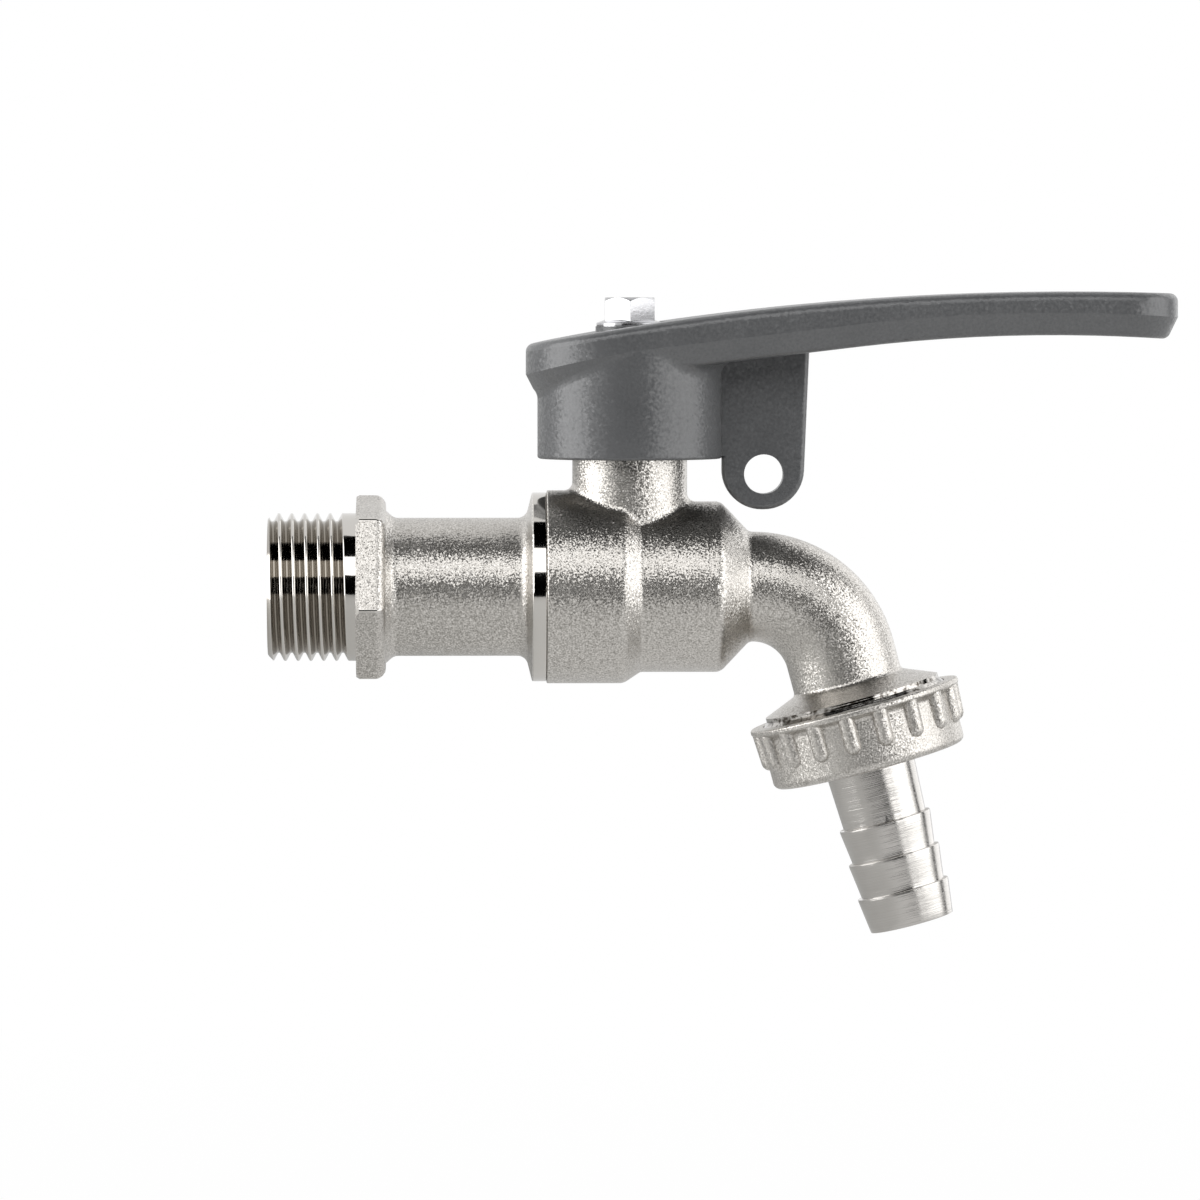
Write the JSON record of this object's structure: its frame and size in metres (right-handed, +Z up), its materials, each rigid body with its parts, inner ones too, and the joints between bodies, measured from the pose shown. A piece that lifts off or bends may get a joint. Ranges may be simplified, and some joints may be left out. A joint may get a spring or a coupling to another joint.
{
  "type": "water butt tap",
  "caption": "Lever ball valve tap with a threaded inlet, bent spout, ribbed union nut, barbed hose tail and a lever with a padlock lug.",
  "frame": {"origin": "on the inlet axis, at the shoulder of the inlet hexagon where the thread begins", "axes": "+X with the flow from the inlet to the spout, +Z up the stem axis towards the lever, +Y across the tap"},
  "size_m": [0.1289, 0.0304, 0.0911],
  "materials": {
    "cast_nickel": "satin",
    "turned_nickel": "satin",
    "bright_nickel": "polished",
    "polished_chrome": "polished",
    "bare_brass": "satin",
    "ptfe": "matte",
    "grey_coating": "matte",
    "zinc_steel": "gloss",
    "black_rubber": "matte"
  },
  "bodies": {
    "tap_body": {"valve_body": "cast_nickel", "inlet_tail": "turned_nickel", "inlet_ball_seat": "ptfe", "outlet_ball_seat": "ptfe", "thrust_washer": "ptfe", "packing_ring_lower": "ptfe", "packing_ring_upper": "ptfe", "gland_nut": "bare_brass"},
    "lever": {"lever_handle": "grey_coating", "lever_screw": "zinc_steel", "stem": "bare_brass", "ball": "polished_chrome"},
    "tail": {"hose_tail": "bright_nickel", "hose_washer": "black_rubber"},
    "nut": {"union_nut": "cast_nickel"}
  },
  "joints": [
    {"name": "lever_turn", "type": "hinge", "parent": "tap_body", "child": "lever", "pos_m": [0.03875, 0, 0], "axis": [0, 0, 1], "range_deg": [0, 90]},
    {"name": "union_slide", "type": "slide", "parent": "tap_body", "child": "tail", "axis": [0.2588, 0, -0.9659], "range_m": [0, 0.00408]},
    {"name": "nut_turn", "type": "hinge", "parent": "tail", "child": "nut", "pos_m": [0.06866, 0, -0.00956], "axis": [0.2588, 0, -0.9659], "range_deg": [0, 810.5]}
  ],
  "couplings": [
    {"joint": "nut_turn", "follows": "union_slide", "rad_per_m": 3463.7}
  ]
}
